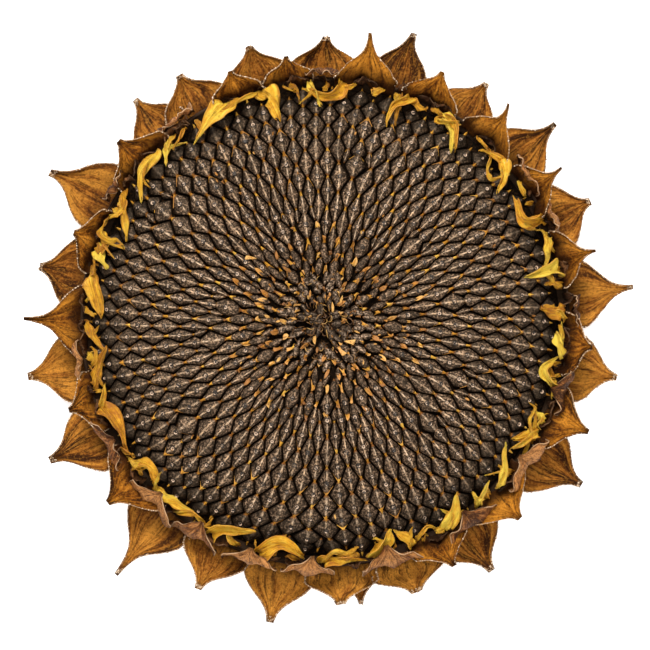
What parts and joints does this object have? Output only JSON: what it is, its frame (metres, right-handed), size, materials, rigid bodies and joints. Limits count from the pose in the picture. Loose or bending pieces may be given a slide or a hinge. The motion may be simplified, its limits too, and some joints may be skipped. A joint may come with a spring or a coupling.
{
  "type": "dried sunflower seed head",
  "caption": "Dried sunflower head lying on its back: a disc of ripe seeds ringed by withered ray florets and curled brown bracts.",
  "frame": {"origin": "middle of the flat cut where the stalk was, which the head rests on", "axes": "+Z out of the seeds, away from the stalk; +X to the right and +Y to the top of the picture"},
  "size_m": [0.1908, 0.1865, 0.0299],
  "materials": {
    "bracts": "dry, veined, dull",
    "ray_florets": "dry and papery",
    "seeds": "dull, faintly shiny on the ridges"
  },
  "bodies": {
    "root": {"receptacle_and_bracts": "bracts", "ray_florets": "ray_florets", "seeds": "seeds"}
  },
  "joints": []
}
